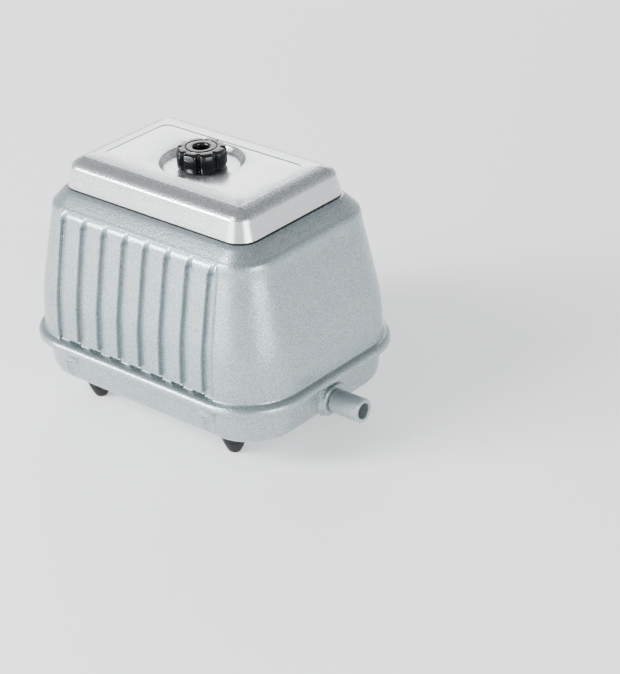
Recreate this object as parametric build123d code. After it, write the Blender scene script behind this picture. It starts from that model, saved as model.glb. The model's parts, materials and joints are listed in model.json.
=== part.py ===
"""Linear diaphragm air pump for ponds and aquariums: every piece as its own STEP node, in millimetres.

Frame: Z up with the feet's soles at z = 0. X runs towards the air outlet, and -Y is the front ribbed face.
Shapes are built about the pump's own middle and moved by X_SHIFT when written, so that the origin is the
middle of the whole pump's footprint, spigot included.
"""

from build123d import *
import math
import os

# ---- Driving dimensions -------------------------------------------------------------------------------
CORE_X, CORE_Y = 82.5, 46.5  # corner axes of the body's plan; the walls are offsets (rho) from this rectangle
X_SHIFT = -11.75  # moves the origin to the middle of the footprint with the spigot

FOOT_X, FOOT_Y, FOOT_R, FOOT_H = 75.0, 61.5, 11.0, 25.0
BASE_Z, BASE_TOP = 25.0, 54.5
FLANGE_Z, FLANGE_TOP, FLANGE_RHO = 55.5, 62.5, 52.5
DECK_Z, DECK_TOP, RIM_Z = 171.0, 174.0, 185.0
WALL_T = 4.6

# Outer wall of the upper housing as (rho, z)
WALL = [(46.3, 66.5), (46.3, 74), (45, 95), (43.4, 107), (39.5, 127), (36.2, 144), (32.5, 161.5), (31, 171.5)]
SHOULDER = [(31, 171.5), (27.5, 176), (21, 182.5), (18, RIM_Z)]

GROOVES, GROOVE_PITCH, GROOVE_W, GROOVE_DEPTH = 8, 22.7, 9.4, 2.0
PAD_X, PAD_PROUD = 86.0, 2.0

SCREW_X, SCREW_RHO = 75.6, 44.5
CHANNEL_R, CHANNEL_RHO, CHANNEL_TOP = 9.36, 48.9, 49.5

COVER_CORE_X, COVER_CORE_Y, COVER_Z = 81.7, 47.0, 186.6
PANEL_Z, DISH_Z, DISH_R = 210.0, 204.5, 33.0
STUD_R, STUD_TOP = 4.0, 214.0
KNOB_R, KNOB_Z, KNOB_TOP, KNOB_LOBES = 20.0, 205.9, 222.0, 8

SPIGOT_R, SPIGOT_BORE, SPIGOT_Z, SPIGOT_END, BOSS_END = 10.0, 6.7, 35.5, 158.5, 130.0
GLAND_Z, GLAND_BORE = 80.0, 3.5

MOTOR_Z = 112.0  # height of the armature's axis
STROKE = 2.5  # armature travel each way
PLATE_X, PLATE_T = 44.0, 4.5  # pump frame's end plates
HEAD_X0, HEAD_X1, HEAD_HALF = 51.0, 76.0, 38.0
HOSE_X = 70.0


# ---- Helpers ------------------------------------------------------------------------------------------
def rho_at(z, points=tuple(WALL)):
    """Offset of the outer wall at height z, by straight lines between the listed points."""
    for (r0, z0), (r1, z1) in zip(points, points[1:]):
        if z <= z1:
            return r0 + (r1 - r0) * (z - z0) / (z1 - z0)
    return points[-1][0]


def polygon(points):
    """Face of a closed outline given as (x, z) points in the XZ plane."""
    return Face(Wire.make_polygon([Vector(x, 0, z) for x, z in points], close=True))


def outline(curves, points):
    """Face in the XZ plane whose outline runs through smooth curves, then back through straight points."""
    edges = []
    last = None
    for curve in curves:
        vectors = [Vector(x, 0, z) for x, z in curve]
        if last is not None and (vectors[0] - last).length > 1e-6:
            edges.append(Edge.make_line(last, vectors[0]))
        if len(vectors) > 2:
            edges.append(Edge.make_spline(vectors))
        else:
            edges.append(Edge.make_line(vectors[0], vectors[-1]))
        last = vectors[-1]
    stops = [Vector(x, 0, z) for x, z in points] + [Vector(curves[0][0][0], 0, curves[0][0][1])]
    for stop in stops:
        edges.append(Edge.make_line(last, stop))
        last = stop
    return Face(Wire(edges))


def ring(section, core_x=CORE_X, core_y=CORE_Y):
    """Carries a (rho, z) section all the way round the core rectangle: four straights and four corners."""
    straights = []
    for side in (1, -1):
        face = Pos(side * core_x, core_y, 0) * (section if side > 0 else Rot(0, 0, 180) * section)
        along = Vector(0, -1, 0)
        straights.append(extrude(face, 2 * core_y, dir=along))
        turned = Pos(-core_x, side * core_y, 0) * (Rot(0, 0, 90 * side) * section)
        straights.append(extrude(turned, 2 * core_x, dir=Vector(1, 0, 0)))
    corners = []
    quarter = revolve(section, Axis.Z, 90)
    for x, y, angle in ((1, 1, 0), (-1, 1, 90), (-1, -1, 180), (1, -1, 270)):
        corners.append(Pos(x * core_x, y * core_y, 0) * (Rot(0, 0, angle) * quarter))
    return straights[0].fuse(*straights[1:], *corners)


def slab(rho, z0, z1, core_x=CORE_X, core_y=CORE_Y):
    """Plate with the plan of the core rectangle offset by rho."""
    plan = RectangleRounded(2 * (core_x + rho), 2 * (core_y + rho), rho)
    return Pos(0, 0, z0) * extrude(plan, z1 - z0)


def box(x0, x1, y0, y1, z0, z1):
    """Box between two corners."""
    middle = Pos((x0 + x1) / 2, (y0 + y1) / 2, (z0 + z1) / 2)
    return middle * Box(abs(x1 - x0), abs(y1 - y0), abs(z1 - z0))


def rod(x, y, z0, z1, radius):
    """Upright cylinder."""
    return Pos(x, y, (z0 + z1) / 2) * Cylinder(radius, abs(z1 - z0))


def rod_x(x0, x1, radius, y=0.0, z=MOTOR_Z):
    """Cylinder along X."""
    return Pos((x0 + x1) / 2, y, z) * (Rot(0, 90, 0) * Cylinder(radius, abs(x1 - x0)))


def turned_z(points, x=0.0, y=0.0):
    """Body turned about an upright axis from (radius, z) points."""
    return Pos(x, y, 0) * revolve(polygon(points), Axis.Z, 360)


def turned_x(points, y=0.0, z=MOTOR_Z):
    """Body turned about an axis along X from (radius, x) points."""
    return Pos(0, y, z) * (Rot(0, 90, 0) * revolve(polygon(points), Axis.Z, 360))


def mirrored(shape, side):
    """The shape, or its mirror image across the YZ plane for side = -1."""
    return shape if side > 0 else mirror(shape, Plane.YZ)


def group(shapes):
    """One node of several separate solids."""
    return Compound([solid for shape in shapes for solid in shape.solids()])


def pan_screw(x, y, z_head, z_tip, radius, head_r, head_h):
    """Upright pan-head screw; its head sits beyond z_head, away from the tip, with a cross recess."""
    way = 1 if z_tip > z_head else -1
    dome = [(0, z_head), (head_r, z_head), (head_r, z_head - way * head_h * 0.45)]
    crest = z_head - way * head_h
    dome += [(head_r * 0.8, z_head - way * head_h * 0.85), (head_r * 0.45, crest), (0, crest)]
    screw = turned_z(dome, x, y) + rod(x, y, z_head, z_tip, radius)
    far, near = z_head - way * (head_h + 1), z_head - way * head_h * 0.35
    low, high = min(far, near), max(far, near)
    arm = head_r * 0.55
    cross = box(x - arm, x + arm, y - 0.5, y + 0.5, low, high)
    cross += box(x - 0.5, x + 0.5, y - arm, y + arm, low, high)
    return screw - cross


# ---- Outer casing -------------------------------------------------------------------------------------
def groove_cutter(x, side):
    """Tapered cutter for one upright groove; it dies out in a point at the top of the wall."""
    sections = []
    for z in (62.9, 74.0, 95.0, 107.0, 127.0, 144.0, 157.0, 170.5):
        fade = 1.0 if z < 158 else 0.06
        surface = CORE_Y + rho_at(max(z, 66.5)) + PAD_PROUD
        depth = (GROOVE_DEPTH + PAD_PROUD) * fade
        wide, narrow = GROOVE_W / 2 * (fade ** 0.5) + 0.9, GROOVE_W / 2 * (fade ** 0.5) * 0.75
        far, near = surface + 2.0, surface - depth
        points = [(x - wide, far), (x + wide, far), (x + narrow, near), (x - narrow, near)]
        sections.append(Face(Wire.make_polygon([Vector(px, side * py, z) for px, py in points], close=True)))
    return Solid.make_loft([face.outer_wire() for face in sections], ruled=True)


def make_upper_housing():
    """Cast upper housing: flange, ribbed walls, shoulder and the rim that the cover sits on."""
    inner = [(9, RIM_Z), (9, DECK_Z), (12.5, DECK_Z), (12.5, 181.5), (15, 181.5), (17.5, 179.3)]
    inner.append((23.5, 172.6))
    inner += [(rho - WALL_T, z) for rho, z in reversed(WALL[2:-1])]
    inner += [(41.7, 74), (41.7, 70), (38, 66), (38, FLANGE_Z), (52.0, FLANGE_Z), (FLANGE_RHO, 56)]
    inner += [(FLANGE_RHO, 58.5), (51.8, 60.6), (50.2, 61.9), (48, FLANGE_TOP)]
    inner += [(46.9, 63.2), (46.3, 64.5)]
    body = ring(outline([WALL, SHOULDER], inner))
    top = rho_at(171.0)
    for side in (1, -1):
        pad = [(rho + PAD_PROUD, z) for rho, z in WALL[:-1]]
        back = [(33.6, 167.3), (33.0, 169.6), (32.0, 171.1), (top - 2, 171.6)]
        back += [(33, 150), (42, 90), (43, 66.5)]
        pad_face = outline([pad], back)
        raised = Pos(-PAD_X, side * CORE_Y, 0) * (Rot(0, 0, 90 * side) * pad_face)
        body += extrude(raised, 2 * PAD_X, dir=Vector(1, 0, 0))
    cutters = []
    for i in range(GROOVES):
        x = (i - (GROOVES - 1) / 2) * GROOVE_PITCH
        for side in (1, -1):
            cutters.append(groove_cutter(x, side))
            if i + 1 < GROOVES:
                low, high = x + GROOVE_W / 2, x + GROOVE_PITCH - GROOVE_W / 2
                cutters.append(box(low, high, side * (CORE_Y + 42.4), side * (CORE_Y + 50), 62.9, 67.5))
    body = body.cut(*cutters)
    holes = []
    for x in (-SCREW_X, SCREW_X):
        holes += [rod(x, s * (CORE_Y + SCREW_RHO), FLANGE_Z - 1, 61.5, 2.05) for s in (1, -1)]
    body = body.cut(*holes)
    body += rod_x(-130, -122.5, 12, z=GLAND_Z)
    return body - rod_x(-131, -121, 7.05, z=GLAND_Z)


def make_deck():
    """Intake deck pressed into the rim: air holes, two rails under the filter and a boss for the stud."""
    body = slab(8.95, DECK_Z, DECK_TOP) + rod(0, 0, 164, DECK_TOP, 12)
    for side in (1, -1):
        body += box(-86, 86, side * 46, side * 44.5, DECK_TOP - 0.5, 176)
    holes = [rod(0, 0, 167, 200, STUD_R + 0.03)]
    for x in (-70, -50, -30, 30, 50, 70):
        holes += [rod(x, y, DECK_Z - 1, DECK_TOP + 1, 5) for y in (-34, 0, 34)]
    return body.cut(*holes)


def make_lower_housing():
    """Cast lower housing, which is also the air tank: floor, walls, screw channels and outlet boss."""
    outer = [(36.5, BASE_Z), (38.5, 25.6), (40.4, 27.6), (42.2, 33), (43.2, 44), (44, BASE_TOP)]
    inner = [(30, BASE_TOP), (30, 50), (36.5, 47.5), (38.6, 44), (37.8, 33), (35.5, 28.5), (25, 28.5)]
    inner.append((25, BASE_Z))
    body = ring(outline([outer], inner)) + slab(26, BASE_Z, 28.5)
    channels = []
    for x in (-SCREW_X, SCREW_X):
        for side in (1, -1):
            body += box(x - 13, x + 13, side * (CORE_Y + 34), side * (CORE_Y + 40), 28.2, BASE_TOP)
            body += rod(x, side * (CORE_Y + SCREW_RHO), CHANNEL_TOP, BASE_TOP, 6.5)
            channels.append(rod(x, side * (CORE_Y + CHANNEL_RHO), 20, CHANNEL_TOP, CHANNEL_R))
            channels.append(rod(x, side * (CORE_Y + SCREW_RHO), 40, 60, 2.25))
    body = body.cut(*channels)
    flare = [(0, 112), (14, 112), (14, 122), (16.5, 124.5), (14.6, 127)]
    flare += [(13.6, BOSS_END - 0.6), (13, BOSS_END), (0, BOSS_END)]
    body += turned_x(flare, z=SPIGOT_Z) & box(100, 140, -30, 30, BASE_Z + 0.4, 53)
    holes = [rod_x(110, 132, 8.55, z=SPIGOT_Z)]
    holes += [rod(x, y, 20, 32, 4.05) for x in (-FOOT_X, FOOT_X) for y in (-FOOT_Y, FOOT_Y)]
    holes += [rod(x, y, 50.5, 56, 1.55) for x, y in tank_screw_spots()]
    return body.cut(*holes)


def make_foot(x, y):
    """Rubber foot with the barb that pulls through the base's floor."""
    points = [(0, 0), (4.2, 0), (5.2, 0.8), (7.3, 4.6), (9.6, 10), (10, 12.5), (FOOT_R, 13.5)]
    points += [(FOOT_R, FOOT_H), (4, FOOT_H), (4, 28.7), (6.2, 28.7), (5.6, 31.5), (3, 34), (0, 34)]
    return turned_z(points, x, y)


def tank_screw_spots():
    """Places of the screws that hold the tank plate down."""
    spots = [(x, s * (CORE_Y + 34)) for x in (-50, 0, 50) for s in (1, -1)]
    return spots + [(s * (CORE_X + 34), y) for s in (1, -1) for y in (-25, 25)]


def make_tank_plate():
    """Plate that shuts the air tank and carries the pump unit, with two hose nipples."""
    plate = slab(37.3, BASE_TOP + 1, 58.5)
    for side in (1, -1):
        plate += rod(side * HOSE_X, 0, 56, 65, 6)
        plate -= rod(side * HOSE_X, 0, 50, 70, 4.5)
    cuts = [rod(x, y, 50, 60, 1.75) for x, y in tank_screw_spots()]
    cuts += [rod(x, y, 50, 60, 2.0) for x, y in mount_spots()]
    return plate.cut(*cuts)


def mount_spots():
    """Places of the four rubber vibration mounts."""
    return [(x, y) for x in (-36, 36) for y in (-46, 46)]


def make_spigot():
    """Hose spigot with a threaded shank that screws into the base's boss."""
    points = [(SPIGOT_BORE, 112), (8.5, 112), (8.5, BOSS_END + 0.5), (SPIGOT_R, BOSS_END + 0.5)]
    points += [(SPIGOT_R, SPIGOT_END - 1), (SPIGOT_R - 1, SPIGOT_END)]
    points += [(SPIGOT_BORE + 0.5, SPIGOT_END), (SPIGOT_BORE, SPIGOT_END - 0.5)]
    return turned_x(points, z=SPIGOT_Z)


def make_gland():
    """Cord gland in the end wall, with a wider mouth inside."""
    points = [(GLAND_BORE, -135), (6.2, -135), (7, -133.6), (9.5, -133), (9.5, -130), (7, -130), (7, -115)]
    points += [(4.6, -115), (4.6, -122.5), (GLAND_BORE, -123)]
    return turned_x(points, z=GLAND_Z)


# ---- Cover, filter and knob ---------------------------------------------------------------------------
def make_cover():
    """Filter cover: drafted sides, crowned rim, sunk panel, round dish and a hub over the stud."""
    side = [(17, COVER_Z), (13.2, 201.5)]
    crown = [(13.2, 201.5), (12.1, 204.2), (9.6, 206.9), (5.8, 209.4), (1.5, 211)]
    body = ring(outline([side, crown], [(0.01, 211), (0.01, COVER_Z)]), COVER_CORE_X, COVER_CORE_Y)
    half_x, half_y = COVER_CORE_X + 0.5, COVER_CORE_Y + 0.5
    body += box(-half_x, half_x, -half_y, half_y, COVER_Z, 211)
    room = [(14.6, COVER_Z - 1), (14.4, 188), (12.4, 196), (9.2, 203.4), (4.5, 206.8), (1.5, 207.6)]
    room += [(0.01, 207.6), (0.01, COVER_Z - 1)]
    hollow = ring(polygon(room), COVER_CORE_X, COVER_CORE_Y)
    hollow += box(-half_x, half_x, -half_y, half_y, COVER_Z - 1, 207.6)
    hollow -= turned_z([(0, 202.1), (32.4, 202.1), (36, 207.7), (36, 209), (0, 209)])
    hollow -= turned_z([(0, 190.3), (10, 190.3), (11.5, 202.2), (0, 202.2)])
    body -= hollow
    body -= Pos(0, 0, PANEL_Z) * extrude(RectangleRounded(148.4, 74, 7), 3)
    dish = [(0, DISH_Z), (30, DISH_Z), (DISH_R, 208.4), (DISH_R + 1.2, PANEL_Z), (DISH_R + 1.2, 213), (0, 213)]
    body -= turned_z(dish)
    slots = [box(x - 6, x + 6, 55, 70, COVER_Z - 1, COVER_Z + 3) for x in (-66, -44, -22, 0, 22, 44, 66)]
    return body.cut(*slots, rod(0, 0, 185, 206, STUD_R + 0.6))


def make_knob():
    """Lobed hand knob with a ring groove and a centre hole over the insert."""
    plan = Circle(17.0)
    for i in range(KNOB_LOBES):
        angle = math.radians(360 / KNOB_LOBES * i + 12)
        plan += Pos(15.6 * math.cos(angle), 15.6 * math.sin(angle)) * Circle(KNOB_R - 15.6)
    body = Pos(0, 0, KNOB_Z) * extrude(plan, KNOB_TOP - KNOB_Z)
    crown = [(0, KNOB_Z), (KNOB_R - 1.2, KNOB_Z), (KNOB_R + 0.1, KNOB_Z + 1.2), (KNOB_R + 0.1, 219.6)]
    crown += [(19.2, 220.9), (17.6, 221.7), (14.5, KNOB_TOP), (0, KNOB_TOP)]
    body = body & turned_z(crown)
    body -= turned_z([(12.0, 221), (13.0, 221), (13.2, 223), (11.8, 223)])
    bore = [(0, KNOB_Z - 1), (6.5, KNOB_Z - 1), (6.5, 221.2), (7.4, 222.1), (7.4, 224), (0, 224)]
    return body - turned_z(bore)


def make_filter():
    """Foam pad with a hole for the hub and the stud's shoulder."""
    pad = Pos(0, 0, 176.3) * extrude(RectangleRounded(178, 106, 9), 24)
    return pad - turned_z([(0, 170), (13.5, 170), (13.5, 205), (0, 205)])


def make_stud():
    """Fixed stud with the shoulder the cover's hub comes down to."""
    points = [(0, 167.5), (STUD_R, 167.5), (STUD_R, DECK_TOP), (8, DECK_TOP), (8, 189), (7, 190)]
    points += [(STUD_R, 190), (STUD_R, STUD_TOP - 1), (STUD_R - 1, STUD_TOP), (0, STUD_TOP)]
    return turned_z(points)


# ---- Pump unit ----------------------------------------------------------------------------------------
def make_frame():
    """Pump frame: bottom plate, two end plates and pillars under the cores."""
    body = box(-48.5, 48.5, -56, 56, 69, 72)
    for side in (1, -1):
        body += box(side * PLATE_X, side * (PLATE_X + PLATE_T), -40, 40, 72, MOTOR_Z + 40)
        body += box(-30, 30, side * 39, side * 49, 72, MOTOR_Z - 20)
    cuts = [rod_x(-60, 60, 29.5)]
    cuts += [rod_x(-60, 60, 2.0, y, MOTOR_Z + z) for y in (-34, 34) for z in (-34, 34)]
    cuts += [rod(x, y, 60, 80, 2.0) for x, y in mount_spots()]
    return body.cut(*cuts)


def make_core(side):
    """E-shaped iron core whose legs face the armature across a small gap."""
    body = box(-36, 36, side * 38, side * 50, MOTOR_Z - 20, MOTOR_Z + 20)
    for x0, x1 in ((-36, -26), (-8, 8), (26, 36)):
        body += box(x0, x1, side * 7.5, side * 38, MOTOR_Z - 20, MOTOR_Z + 20)
    return body


def make_bobbin(side):
    """Plastic bobbin round the core's middle leg."""
    body = box(-10, 10, side * 10, side * 37.5, MOTOR_Z - 22, MOTOR_Z + 22)
    for y0, y1 in ((10, 11.5), (36, 37.5)):
        body += box(-25, 25, side * y0, side * y1, MOTOR_Z - 37, MOTOR_Z + 37)
    return body - box(-8.2, 8.2, side * 5, side * 40, MOTOR_Z - 20.2, MOTOR_Z + 20.2)


def make_coil(side):
    """Copper winding on the bobbin."""
    plan = Pos(0, 0, MOTOR_Z) * (Rot(90, 0, 0) * extrude(RectangleRounded(48, 72, 12), 12, both=True))
    body = Pos(0, side * 23.75, 0) * plan
    return body - box(-10.1, 10.1, side * 5, side * 40, MOTOR_Z - 22.1, MOTOR_Z + 22.1)


def make_rod():
    """Armature rod with collars for the diaphragm discs."""
    points = [(0, -57), (4, -57), (4, -46.5), (6, -46.5), (6, -43), (4, -43)]
    points += [(4, 43), (6, 43), (6, 46.5), (4, 46.5), (4, 57), (0, 57)]
    return turned_x(points)


def magnet_boxes(grow):
    """The four magnets, or with grow the pockets they sit in."""
    shapes = []
    for x in (-16, 16):
        for z in (-11.5, 11.5):
            low, high = MOTOR_Z + z - 5.5 - grow, MOTOR_Z + z + 5.5 + grow
            shapes.append(box(x - 11 - grow, x + 11 + grow, -5.5, 5.5, low, high))
    return shapes


def make_holder():
    """Flat plastic carrier of the magnets."""
    body = box(-31, 31, -5.5, 5.5, MOTOR_Z - 19, MOTOR_Z + 19)
    return body.cut(rod_x(-40, 40, 4.01), *magnet_boxes(0.05))


def make_diaphragm():
    """Right diaphragm: clamped rim, rolled convolution and clamped middle."""
    points = [(4.05, 48.8), (17, 48.8), (19, 49.4), (21, 51.6), (23.5, 52.6), (26, 51.6), (28, 49.4)]
    points += [(29.6, 48.5), (36, 48.5), (36, 51), (28.4, 51), (27.8, 51.7), (26.3, 53.8)]
    points += [(23.5, 54.9), (20.2, 53.8), (18.2, 51.6), (17, 51), (4.05, 51)]
    return turned_x(points)


def make_discs():
    """Right pair of clamping discs."""
    return [turned_x([(4.03, 46.5), (15, 46.5), (16, 47.3), (16, 48.75), (4.03, 48.75)]),
            turned_x([(4.03, 51.05), (16, 51.05), (16, 52.5), (15, 53.3), (4.03, 53.3)])]


def make_head():
    """Right head: pump chamber, valve wall with two ports, and the intake and exhaust cavities."""
    body = box(HEAD_X0, HEAD_X1, -HEAD_HALF, HEAD_HALF, MOTOR_Z - HEAD_HALF, MOTOR_Z + HEAD_HALF)
    body += rod(HOSE_X, 0, MOTOR_Z - 46, MOTOR_Z - HEAD_HALF + 1, 6)
    cuts = [rod_x(HEAD_X0 - 1, 60, 28.5)]
    for side in (1, -1):
        low, high = sorted((MOTOR_Z + side * 2, MOTOR_Z + side * 31))
        cuts.append(box(64, HEAD_X1 + 1, -29, 29, low, high))
        cuts += [rod_x(59, 65, 2.6, y, MOTOR_Z + side * 16) for y in (-6, 0, 6)]
        cuts.append(rod_x(50, 80, 2.1, -34, MOTOR_Z + side * 34))
        cuts.append(rod_x(50, 80, 2.1, 34, MOTOR_Z + side * 34))
    cuts.append(rod(HOSE_X, 0, MOTOR_Z - 50, MOTOR_Z - 25, 4.5))
    cuts += [rod(HOSE_X, y, MOTOR_Z + 25, MOTOR_Z + 45, 4.5) for y in (-14, 0, 14)]
    return body.cut(*cuts)


def make_head_cover():
    """Right head's cover plate."""
    plate = box(HEAD_X1, 79, -HEAD_HALF, HEAD_HALF, MOTOR_Z - HEAD_HALF, MOTOR_Z + HEAD_HALF)
    plate += box(79, 80, -24, 24, MOTOR_Z - 24, MOTOR_Z + 24)
    return plate.cut(*[rod_x(70, 90, 2.1, y, MOTOR_Z + z) for y in (-34, 34) for z in (-34, 34)])


def make_head_screws():
    """Right head's four long screws."""
    shape = [(0, 45), (1.95, 45), (1.95, 79), (3.8, 79), (3.8, 80.6), (3, 81.6), (0, 81.6)]
    return [turned_x(shape, y, MOTOR_Z + z) for y in (-34, 34) for z in (-34, 34)]


def make_flap(intake):
    """Right intake or exhaust flap: a thin rubber tongue hung from its upper edge."""
    side = 1 if intake else -1
    x0, x1 = (59.0, 59.7) if intake else (64.3, 65.0)
    return box(x0, x1, -9, 9, MOTOR_Z + side * 16 - 7.5, MOTOR_Z + side * 16 + 7.5)


def make_hose():
    """Right rubber hose from the head's nipple down to the tank plate's."""
    return turned_z([(6.03, 58.8), (8.6, 58.8), (8.6, 73.6), (6.03, 73.6)], HOSE_X, 0)


# ---- Writing ------------------------------------------------------------------------------------------
def casing_nodes():
    """Pieces seen from outside, and what seals them."""
    feet = {}
    for side_x, word_x in ((-1, "left"), (1, "right")):
        for side_y, word_y in ((-1, "front"), (1, "back")):
            feet[f"foot_{word_y}_{word_x}"] = make_foot(side_x * FOOT_X, side_y * FOOT_Y)
    screws = []
    for x in (-SCREW_X, SCREW_X):
        screws += [pan_screw(x, s * (CORE_Y + SCREW_RHO), CHANNEL_TOP, 61, 2.0, 4.2, 3.2) for s in (1, -1)]
    tank_screws = [pan_screw(x, y, 58.5, 51, 1.5, 3.0, 2.2) for x, y in tank_screw_spots()]
    tank_gasket = ring(polygon([(31, BASE_TOP), (36.8, BASE_TOP), (36.8, 55.5), (31, 55.5)]))
    tank_gasket = tank_gasket.cut(*[rod(x, y, 50, 60, 1.75) for x, y in tank_screw_spots()])
    return {
        "upper_housing": make_upper_housing(),
        "intake_deck": make_deck(),
        "lower_housing": make_lower_housing(),
        "housing_gasket": ring(polygon([(38.3, BASE_TOP), (42, BASE_TOP), (42, FLANGE_Z), (38.3, FLANGE_Z)])),
        "housing_screws": group(screws),
        "tank_gasket": tank_gasket,
        "tank_plate": make_tank_plate(),
        "tank_screws": group(tank_screws),
        "outlet_spigot": make_spigot(),
        "spigot_seal": rod_x(BOSS_END, BOSS_END + 0.5, 9.7, z=SPIGOT_Z) - rod_x(BOSS_END - 1, BOSS_END + 1, 8.6, z=SPIGOT_Z),
        "cord_gland": make_gland(),
        "gland_nut": turned_x([(7.05, -122.4), (10.5, -122.4), (10.5, -118.5), (7.05, -118.5)], z=GLAND_Z),
        **feet,
    }


def cover_nodes():
    """Cover, filter, stud and knob."""
    seal = [(9.5, 185.25), (14.6, 185.25), (16.6, 185.25), (16.6, COVER_Z), (9.5, COVER_Z)]
    return {
        "filter_cover": make_cover(),
        "cover_gasket": ring(polygon(seal), COVER_CORE_X, COVER_CORE_Y),
        "air_filter": make_filter(),
        "cover_stud": make_stud(),
        "knob": make_knob(),
        "knob_insert": rod(0, 0, KNOB_Z, 214.2, 6.48) - rod(0, 0, KNOB_Z - 1, 216, STUD_R + 0.06),
        "knob_washer": turned_z([(4.6, DISH_Z + 0.2), (10, DISH_Z + 0.2), (10, 205.7), (4.6, 205.7)]),
    }


def pump_nodes():
    """Pieces of the vibrating pump unit inside the housing."""
    nodes = {"pump_frame": make_frame(), "armature_rod": make_rod(), "magnet_holder": make_holder()}
    nodes["magnets"] = group(magnet_boxes(0.0))
    for side, word in ((-1, "front"), (1, "back")):
        nodes[f"core_{word}"] = make_core(side)
        nodes[f"bobbin_{word}"] = make_bobbin(side)
        nodes[f"coil_{word}"] = make_coil(side)
    nut = turned_x([(4.03, 53.35), (6.5, 53.35), (6.5, 56.6), (6, 57.2), (4.03, 57.2)])
    for side, word in ((-1, "left"), (1, "right")):
        nodes[f"diaphragm_{word}"] = mirrored(make_diaphragm(), side)
        nodes[f"diaphragm_discs_{word}"] = group([mirrored(disc, side) for disc in make_discs()])
        nodes[f"rod_nut_{word}"] = mirrored(nut, side)
        nodes[f"head_{word}"] = mirrored(make_head(), side)
        nodes[f"head_cover_{word}"] = mirrored(make_head_cover(), side)
        nodes[f"head_screws_{word}"] = group([mirrored(screw, side) for screw in make_head_screws()])
        nodes[f"flap_intake_{word}"] = mirrored(make_flap(True), side)
        nodes[f"flap_exhaust_{word}"] = mirrored(make_flap(False), side)
        nodes[f"outlet_hose_{word}"] = mirrored(make_hose(), side)
    for number, (x, y) in enumerate(mount_spots(), start=1):
        waisted = [(2.05, 58.5), (7.5, 58.5), (6, 62), (6, 65.5), (7.5, 69), (2.05, 69)]
        nodes[f"vibration_mount_{number}"] = turned_z(waisted, x, y)
    bolt = [(0, 54.8), (1.95, 54.8), (1.95, 72), (4, 72), (4, 75), (0, 75)]
    bolts = [turned_z(bolt, x, y) for x, y in mount_spots()]
    nodes["mount_bolts"] = group(bolts)
    block = box(-112, -92, 22, 46, 58.6, 72)
    for y in (28, 34, 40):
        block -= rod(-102, y, 66, 73, 2.4)
        block -= rod_x(-113, -91, 1.8, y, 63.5)
    nodes["terminal_block"] = block
    return nodes


def main():
    """Writes every node's STEP file."""
    os.makedirs("parts", exist_ok=True)
    for make in (casing_nodes, cover_nodes, pump_nodes):
        for name, shape in make().items():
            export_step(Pos(X_SHIFT, 0, 0) * shape, f"parts/{name}.step")


if __name__ == "__main__":
    main()
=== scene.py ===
"""Looks of a linear diaphragm air pump: hammered casting, filter cover, hand knob, feet and a pale studio.

Lengths in the shape tables are millimetres about the pump's own middle; `metres` turns them into the frame.
"""

import json
import logging
import math
from dataclasses import dataclass, field
from enum import Enum
from typing import Callable, Iterable, Sequence

import bmesh
import bpy
from mathutils import Matrix, Vector
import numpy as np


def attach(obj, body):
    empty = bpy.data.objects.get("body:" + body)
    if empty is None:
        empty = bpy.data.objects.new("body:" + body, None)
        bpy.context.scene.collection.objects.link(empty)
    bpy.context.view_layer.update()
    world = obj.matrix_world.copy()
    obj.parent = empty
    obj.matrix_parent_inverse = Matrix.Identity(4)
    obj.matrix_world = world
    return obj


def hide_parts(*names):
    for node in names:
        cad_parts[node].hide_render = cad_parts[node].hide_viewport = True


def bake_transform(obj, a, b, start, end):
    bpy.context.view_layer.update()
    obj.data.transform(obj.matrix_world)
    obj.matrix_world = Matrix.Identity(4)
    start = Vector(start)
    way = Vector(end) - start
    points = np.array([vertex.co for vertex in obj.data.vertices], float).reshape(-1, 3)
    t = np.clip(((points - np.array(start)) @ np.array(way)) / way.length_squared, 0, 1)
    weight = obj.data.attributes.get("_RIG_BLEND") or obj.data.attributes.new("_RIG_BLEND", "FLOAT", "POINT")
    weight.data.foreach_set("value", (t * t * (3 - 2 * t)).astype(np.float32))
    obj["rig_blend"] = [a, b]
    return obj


LOG = logging.getLogger("air_pump")
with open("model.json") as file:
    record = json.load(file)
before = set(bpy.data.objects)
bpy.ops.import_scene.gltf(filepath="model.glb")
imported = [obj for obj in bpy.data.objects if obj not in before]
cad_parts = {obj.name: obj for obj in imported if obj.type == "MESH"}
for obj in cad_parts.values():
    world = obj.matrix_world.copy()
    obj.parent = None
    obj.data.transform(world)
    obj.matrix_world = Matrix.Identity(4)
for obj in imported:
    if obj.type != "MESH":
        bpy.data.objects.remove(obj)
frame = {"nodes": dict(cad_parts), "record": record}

MM = 0.001
X_SHIFT = -11.75
NODE_SPACING = 180
Colour = tuple[float, float, float, float]
Line = Sequence[tuple[float, float]]
DUST_COLOUR: Colour = (0.50, 0.49, 0.46, 1.0)
COAT_ROUGHNESS = 0.12
PAINTED_CREVICE_SHADE_REACH = 14 * MM  # how far the painted crevice shade looks for a facing wall
Relief = Callable[["Station", float], float]


def metres(x: float, y: float, z: float) -> Vector:
    """Turns a point about the pump's middle into the frame.

    Args:
        x, y, z: the point in millimetres.
    Returns:
        The point in metres.
    """
    return Vector(((x + X_SHIFT) * MM, y * MM, z * MM))


# ---- Shader node groups ---------------------------------------------------------------------------------
class Socket(Enum):
    """Kinds of group socket."""

    FLOAT = "NodeSocketFloat"
    COLOUR = "NodeSocketColor"
    VECTOR = "NodeSocketVector"


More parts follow.
